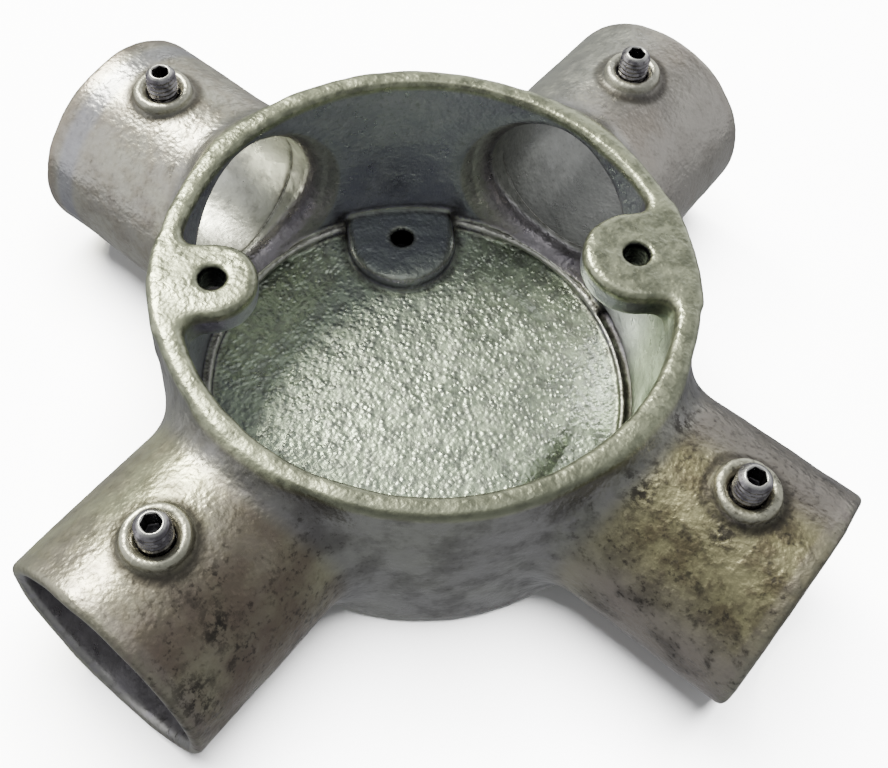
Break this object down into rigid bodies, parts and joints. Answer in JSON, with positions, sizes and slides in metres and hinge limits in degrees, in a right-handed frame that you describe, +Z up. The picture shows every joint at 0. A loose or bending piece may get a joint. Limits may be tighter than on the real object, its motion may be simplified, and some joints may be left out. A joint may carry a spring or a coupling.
{
  "type": "conduit box",
  "caption": "Shallow round metal box, open on top, with tubular spouts at right angles, each with a small clamping screw in a raised boss, and two lid lugs.",
  "frame": {"origin": "centre of the underside", "axes": "+Z up to the open rim, spouts along +X, +Y, -X and -Y, lid lugs on the diagonal at 45 and 225 degrees"},
  "size_m": [0.11, 0.11, 0.0333],
  "materials": {
    "galvanised_iron": "hot-dip galvanised rough casting, dulled and stained",
    "screw_steel": "dull zinc-plated steel"
  },
  "bodies": {
    "box": {"body_casting": "galvanised_iron"},
    "screw_right": {"grub_screw_right": "screw_steel"},
    "screw_back": {"grub_screw_back": "screw_steel"},
    "screw_left": {"grub_screw_left": "screw_steel"},
    "screw_front": {"grub_screw_front": "screw_steel"}
  },
  "joints": [
    {"name": "grub_screw_right_travel", "type": "slide", "parent": "box", "child": "screw_right", "axis": [0, 0, 1], "range_m": [-0.0028, 0.0028]},
    {"name": "grub_screw_back_travel", "type": "slide", "parent": "box", "child": "screw_back", "axis": [0, 0, 1], "range_m": [-0.0028, 0.0028]},
    {"name": "grub_screw_left_travel", "type": "slide", "parent": "box", "child": "screw_left", "axis": [0, 0, 1], "range_m": [-0.0028, 0.0028]},
    {"name": "grub_screw_front_travel", "type": "slide", "parent": "box", "child": "screw_front", "axis": [0, 0, 1], "range_m": [-0.0028, 0.0028]}
  ]
}
